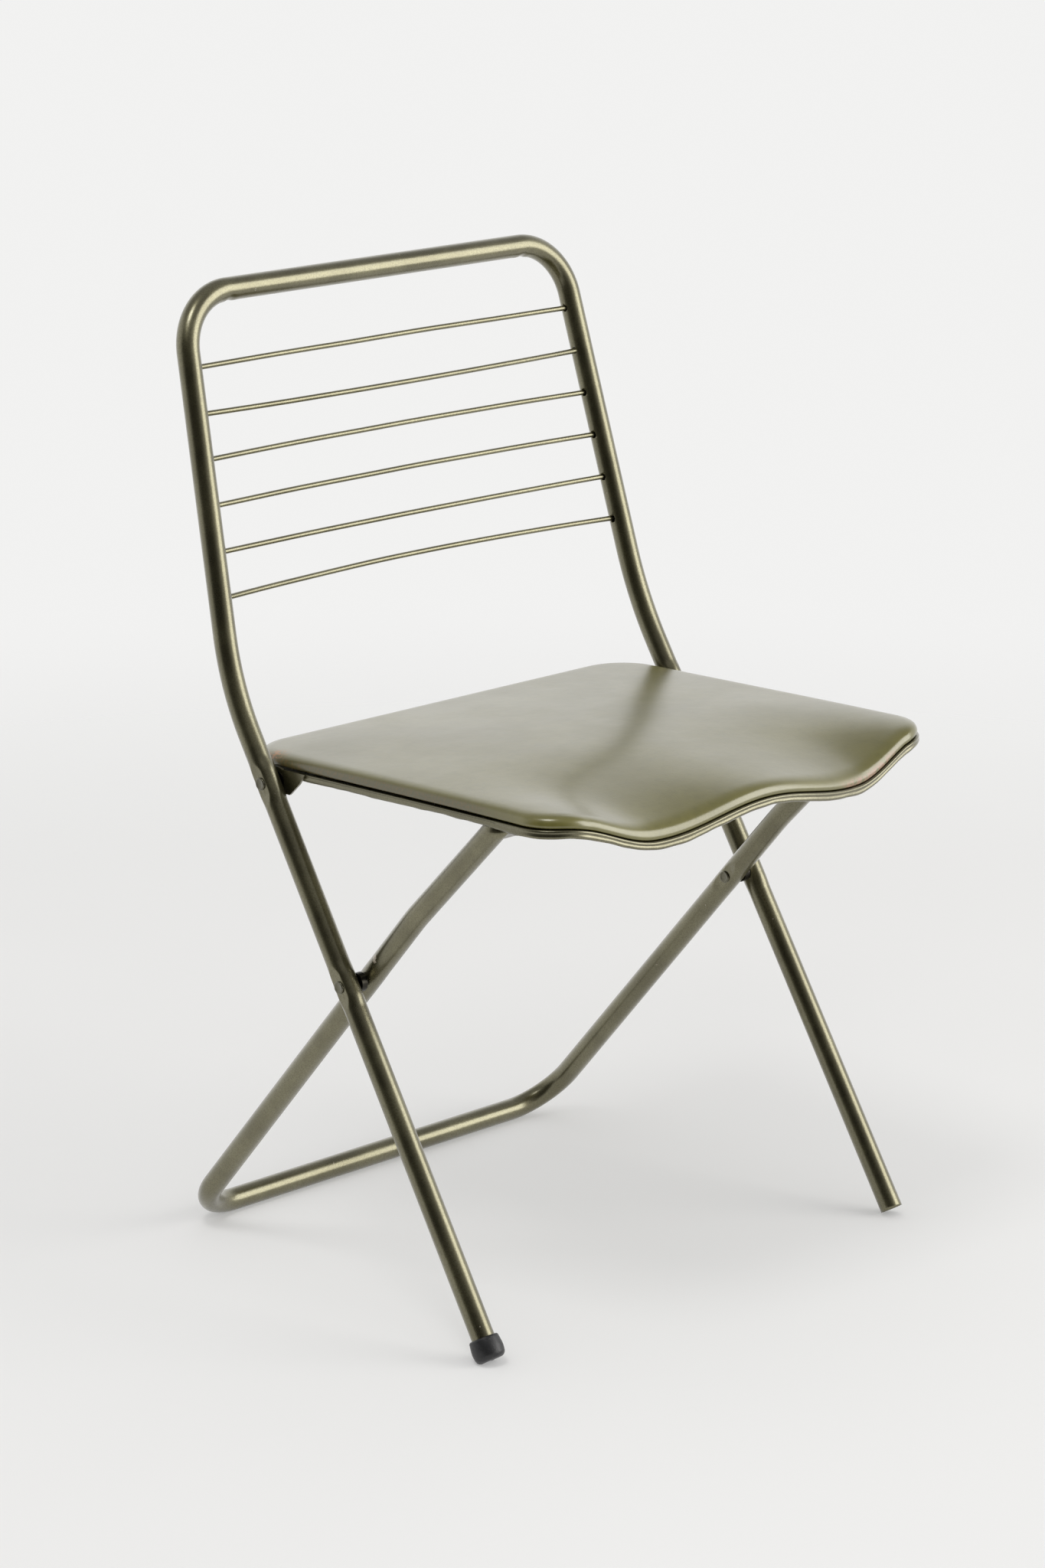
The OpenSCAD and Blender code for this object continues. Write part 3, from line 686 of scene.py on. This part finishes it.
def flange(y):
    """Depth of the pan's turned-down edge, which is deeper along the front."""
    return FLANGE_FRONT - FLANGE_LESS * np.clip((y - FLANGE_STEP_Y) / FLANGE_STEP, 0, 1)


def outline(inset, arc_steps=26, long_steps=70):
    """The seat's outline from above, set in by inset, with the same count of points each time."""
    w, rr, fr = PAN_HALF - inset, REAR_R - inset, FRONT_R - inset
    yr, yf = PAN_REAR - inset, PAN_FRONT + FRONT_BOW + inset
    points = []

    def arc(cx, cy, r, a0, a1):
        for a in np.radians(np.linspace(a0, a1, arc_steps, endpoint=False)):
            points.append((cx + r * math.cos(a), cy + r * math.sin(a)))

    def line(a, b, steps):
        for t in np.linspace(0, 1, steps, endpoint=False):
            points.append((a[0] + (b[0] - a[0]) * t, a[1] + (b[1] - a[1]) * t))

    line((w, yf + fr), (w, yr - rr), long_steps)
    arc(w - rr, yr - rr, rr, 0, 90)
    line((w - rr, yr), (rr - w, yr), long_steps)
    arc(rr - w, yr - rr, rr, 90, 180)
    line((-w, yr - rr), (-w, yf + fr), long_steps)
    arc(fr - w, yf + fr, fr, 180, 270)
    for t in np.linspace(fr - w, w - fr, 2 * long_steps, endpoint=False):
        points.append((t, yf - FRONT_BOW * (1 - (t / (w - fr)) ** 2)))
    arc(w - fr, yf + fr, fr, 270, 360)
    return np.array(points)


def seat_loop(inset, lift, scale=1.0):
    """The outline shrunk by scale and laid over the pan, lifted by a number or a function of x, y."""
    flat = outline(inset)
    x = flat[:, 0] * scale
    y = SEAT_MID_Y + (flat[:, 1] - SEAT_MID_Y) * scale
    height = lift(x, y) if callable(lift) else lift
    return np.stack([x, y, pan_height(x, y) + height], 1)


def seat_skin(name, loops, material):
    """A closed solid through loops, from the middle of its top round to the middle of its base."""
    around = len(loops[0])
    points = np.vstack(loops + [[np.mean(loops[0], 0)], [np.mean(loops[-1], 0)]])
    faces = grid_faces(len(loops), around)
    top, base_at, last = len(points) - 2, len(points) - 1, (len(loops) - 1) * around
    faces += [(top, (j + 1) % around, j) for j in range(around)]
    faces += [(base_at, last + j, last + (j + 1) % around) for j in range(around)]
    return mesh_object(name, points, faces, material)


# ---- Pan ----

def over_flange(height):
    """A lift measured up from the flange's lower edge."""
    return lambda x, y: height - flange(y)


# The sheet's faces, as lifts, which part.scad has 1.4 higher. The rim turns down into a groove and
# a bead above the lower edge, given as (inset, lift) and as (inset, height over the lower edge)
PAN_FACE, PAN_UNDER, PAN_FLAT_INSET = -1.4, -2.6, 6
PAN_RIM = ((3.4, -1.4), (2.0, -1.42), (1.2, -1.5), (0.75, -1.75), (0.45, -2.15), (0.35, -2.7))
PAN_BEAD = ((0.4, 4.7), (0.65, 4.1), (0.4, 3.5), (0.05, 2.7), (0.0, 1.9), (0.3, 1.0), (0.8, 0.3),
            (1.3, 0.15), (1.6, 0.7), (1.7, 1.8))
PAN_INSIDE = ((1.8, -4.2), (3.4, -2.7))
spread = (0.02, 0.3, 0.6, 0.8, 0.92, 1)
pan_loops = [seat_loop(PAN_FLAT_INSET, PAN_FACE, share) for share in spread]
pan_loops += [seat_loop(inset, lift) for inset, lift in PAN_RIM]
pan_loops += [seat_loop(inset, over_flange(height)) for inset, height in PAN_BEAD]
pan_loops += [seat_loop(inset, lift) for inset, lift in PAN_INSIDE]
pan_loops += [seat_loop(PAN_FLAT_INSET, PAN_UNDER, share) for share in spread[::-1]]
pan = seat_skin("seat_pan_smooth", pan_loops, PAN_PAINT)

# Dents in the turned-down edge: broad ones and half as deep small ones
DENT_RISE, DENT_PUSH, BROAD, SMALL = 0.9, 0.5, 34, 13
for vertex in pan.data.vertices:
    x, y, z = vertex.co / MM
    low = smoothstep(2.2, 6, pan_height(x, y) - z) * (abs(x) > 150 or y < -150)
    dent = noise.noise(Vector((x / BROAD, y / BROAD, 1.7)))
    dent += 0.5 * noise.noise(Vector((x / SMALL, y / SMALL, 5.1)))
    vertex.co.z += float(low) * DENT_RISE * dent * MM
    vertex.co.x -= float(low) * DENT_PUSH * dent * MM * math.copysign(1, x)
co = np.array([v.co for v in pan.data.vertices]) / MM
drop = pan_height(co[:, 0], co[:, 1]) - co[:, 2]
rim = np.clip(1 - np.abs(drop - 0.6) / 0.8, 0, 1) + np.clip(1 - np.abs(drop - flange(co[:, 1])) / 1.2, 0, 1)
rim *= smoothstep(PAN_HALF - 12, PAN_HALF - 3, np.maximum(np.abs(co[:, 0]), -co[:, 1] - 5))
set_attribute(pan, "wear", rim * (0.45 + 0.55 * smoothstep(-60, -190, co[:, 1])))
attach(pan, "seat")
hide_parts("seat_pan")


# ---- Pad ----

def crown(scale):
    """The pad's height over the pan, at a share of the way from its middle to its roll."""
    return PAD_TOP - CROWN * scale ** 2.4


# Along the front the pad's base is PAD_SETTLE lower, and its roll less so up to PAD_SETTLE_TOP
PAD_SETTLE, PAD_SETTLE_TOP = 0.9, 6


def settled(lift):
    """The lift of the pad's edge, which lies closer to the pan along the front."""
    front = PAD_SETTLE * np.clip(1 - lift / PAD_SETTLE_TOP, 0, 1)
    return lambda x, y: lift - front * np.clip((WAVE_START - y) / (WAVE_START - PAN_FRONT), 0, 1) ** 2


PAD_ROLL = 8
# The roll's section from the top round to the base, as (inset from the pan's outline, lift)
PAD_EDGE = ((11.2, 9.2), (9.4, 8.9), (7.6, 8.45), (6.0, 7.85), (4.7, 7.1), (3.7, 6.2), (2.9, 5.1),
            (2.3, 3.9), (2.0, 2.9), (1.95, 1.9), (2.1, 1.0), (2.5, 0.35), (3.1, 0.05), (4.2, 0.0),
            (5.5, 0.2))
CROWN_RINGS = (0.02, 0.1, 0.2, 0.3, 0.4, 0.5, 0.58, 0.66, 0.73, 0.79, 0.84, 0.88, 0.915, 0.94, 0.96,
               0.98, 1)
pad_loops = [seat_loop(PAD_INSET + PAD_ROLL, crown(share), share) for share in CROWN_RINGS]
pad_loops += [seat_loop(inset, settled(lift)) for inset, lift in PAD_EDGE]
pad_loops += [seat_loop(7, 0.3, share) for share in (1, 0.8, 0.4, 0.02)]
pad = seat_skin("vinyl_pad", pad_loops, VINYL)
co = np.array([v.co for v in pad.data.vertices]) / MM
edge_x = np.abs(co[:, 0])
rise = co[:, 2] - pan_height(co[:, 0], co[:, 1])
# Painted shade and browning: a band along the lower roll at both sides, fading out towards the front.
shaded_and_browned_sides = smoothstep(PAN_HALF - 14, PAN_HALF - 7, edge_x) * smoothstep(8.5, 5, rise)
set_attribute(pad, "edge", shaded_and_browned_sides * smoothstep(-200, -100, co[:, 1]))
# The vinyl has peeled on the front roll between these values of x, and has rust stains at one spot
PEEL_LEFT, PEEL_RIGHT, RUST_SPOT, RUST_SIZE = (85, 105), (150, 175), (-212, 106), 8
front_right = smoothstep(*PEEL_LEFT, co[:, 0]) * smoothstep(*PEEL_RIGHT[::-1], co[:, 0])
set_attribute(pad, "peel", front_right * smoothstep(-205, -212, co[:, 1]) * smoothstep(6.0, 3.5, rise))
rear_left = np.exp(-((co[:, 0] - RUST_SPOT[0]) ** 2 + (co[:, 1] - RUST_SPOT[1]) ** 2) / RUST_SIZE ** 2)
set_attribute(pad, "rust", rear_left * smoothstep(3, 5, rise) * 1.2)
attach(pad, "seat")
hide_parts("seat_pad")


# ---- CAD parts that keep their shape ----

SHARP_ANGLE = math.radians(32)
for name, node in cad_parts.items():
    material = None
    if name in ("slider_rod", "seat_screws"):
        material = PLATED
    # Spacers and washers take the near-black steel as painted shade.
    elif "spacer" in name or "washer" in name:
        material = SHADE_DARK_STEEL
    elif "lug" in name or "guide" in name:
        material = PAN_PAINT
    elif name == "seat_board":
        material = WOOD
    if material:
        node.data.materials.clear()
        node.data.materials.append(material)
        for polygon in node.data.polygons:
            polygon.use_smooth = True
        smooth = node.modifiers.new("sharp edges stay", "EDGE_SPLIT")
        smooth.split_angle = SHARP_ANGLE


# ---- Floor, light and camera ----

FLOOR_HALF = 30000
floor = mesh_object("floor", [(x * FLOOR_HALF, y * FLOOR_HALF, 0) for x, y in
                              ((-1, -1), (1, -1), (1, 1), (-1, 1))], [(0, 1, 2, 3)], FLOOR, smooth=False)

YAW, PITCH, ROLL = math.radians(43.98), math.radians(-15.70), math.radians(0.21)
CAMERA_PLACE = Vector((-2.5219, -2.5713, 1.4030))
view = Vector((math.sin(YAW) * math.cos(PITCH), math.cos(YAW) * math.cos(PITCH), math.sin(PITCH)))
right = Vector((math.cos(YAW), -math.sin(YAW), 0))
up = right.cross(view)
camera_data = bpy.data.cameras.new("camera")
camera_data.sensor_fit, camera_data.sensor_height, camera_data.sensor_width = "VERTICAL", 36, 24
camera_data.lens = 105.0
camera_data.clip_end = 200
camera = bpy.data.objects.new("camera", camera_data)
tilted_right = right * math.cos(ROLL) + up * math.sin(ROLL)
tilted_up = up * math.cos(ROLL) - right * math.sin(ROLL)
turned = Matrix((tilted_right, tilted_up, -view)).transposed().to_4x4()
camera.matrix_world = Matrix.Translation(CAMERA_PLACE) @ turned
bpy.context.scene.collection.objects.link(camera)
bpy.context.scene.camera = camera


def area_light(name, place, aim, size, power, colour=(1, 1, 1)):
    """A rectangular light that the camera doesn't see."""
    data = bpy.data.lights.new(name, "AREA")
    data.shape, data.size, data.size_y = "RECTANGLE", size[0], size[1]
    data.energy, data.color = power, colour
    light = bpy.data.objects.new(name, data)
    way = (Vector(aim) - Vector(place)).normalized()
    light.matrix_world = Matrix.Translation(place) @ way.to_track_quat("-Z", "Y").to_matrix().to_4x4()
    light.visible_camera = False
    bpy.context.scene.collection.objects.link(light)


area_light("window", (2.9, -3.5, 1.95), (0, 0, 1.4), (3.0, 3.9), 132, (1.0, 0.99, 0.96))
area_light("overhead", (-1.4, -0.4, 3.3), (0, 0, 0.4), (0.9, 0.9), 22)

world = bpy.data.worlds.new("studio")
world.use_nodes = True
tree = world.node_tree
tree.nodes.clear()


def world_node(kind, inputs=(), **settings):
    """A node of the world, with its first inputs linked or set in order."""
    node = tree.nodes.new(kind)
    for key, value in settings.items():
        setattr(node, key, value)
    for socket, value in zip(node.inputs, inputs):
        if isinstance(value, bpy.types.NodeSocket):
            tree.links.new(value, socket)
        elif value is not None:
            socket.default_value = value
    return node


# Brightness of the ceiling in reflections, of the fill light on all pieces, and of the backdrop
CEILING, FILL, BACKDROP = 0.36, 0.74, 0.885

# Brightness of the studio in reflections, by the angle round the chair from the camera's direction
direction = world_node("ShaderNodeTexCoord").outputs["Generated"]
toward_camera = (-math.sin(YAW), -math.cos(YAW), 0)
forward = world_node("ShaderNodeVectorMath", (direction, toward_camera), operation="DOT_PRODUCT")
sideways = world_node("ShaderNodeVectorMath", (direction, tuple(right)), operation="DOT_PRODUCT")
angle = world_node("ShaderNodeMath", (sideways.outputs["Value"], forward.outputs["Value"]),
                   operation="ARCTAN2")
share = world_node("ShaderNodeMath", (angle.outputs[0], 1 / (2 * math.pi), 0.5),
                   operation="MULTIPLY_ADD")
ring = world_node("ShaderNodeValToRGB", (share.outputs[0],))
ring.color_ramp.interpolation = "B_SPLINE"
STUDIO = ((-180, 0.97), (-120, 0.95), (-76, 0.86), (-62, 0.20), (-50, 0.010), (6, 0.008),
          (24, 0.05), (42, 0.38), (60, 0.78), (120, 0.95), (180, 0.97))
stops = ring.color_ramp.elements
while len(stops) < len(STUDIO):
    stops.new(0.5)
for stop, (degrees, level) in zip(stops, STUDIO):
    stop.position = degrees / 360 + 0.5
    stop.color = (level, level, level, 1)
height = world_node("ShaderNodeSeparateXYZ", (direction,)).outputs["Z"]
overhead = world_node("ShaderNodeMapRange", (height, 0.46, 0.76, 0, 1), interpolation_type="SMOOTHSTEP")
lit = world_node("ShaderNodeMix", data_type="FLOAT")
for name, value in (("Factor", overhead.outputs["Result"]), ("A", ring.outputs["Color"])):
    tree.links.new(value, lit.inputs[name])
lit.inputs["B"].default_value = CEILING
ray = world_node("ShaderNodeLightPath")
soft = world_node("ShaderNodeMapRange", (ray.outputs["Is Camera Ray"], 0, 1, FILL, BACKDROP))
strength = world_node("ShaderNodeMix", data_type="FLOAT")
for name, value in (("Factor", ray.outputs["Is Glossy Ray"]), ("A", soft.outputs["Result"]),
                    ("B", lit.outputs["Result"])):
    tree.links.new(value, strength.inputs[name])
background = world_node("ShaderNodeBackground", ((1, 0.998, 0.99, 1), strength.outputs["Result"]))
world_node("ShaderNodeOutputWorld", (background.outputs["Background"],))
bpy.context.scene.world = world
bpy.context.scene.view_settings.view_transform = "Standard"
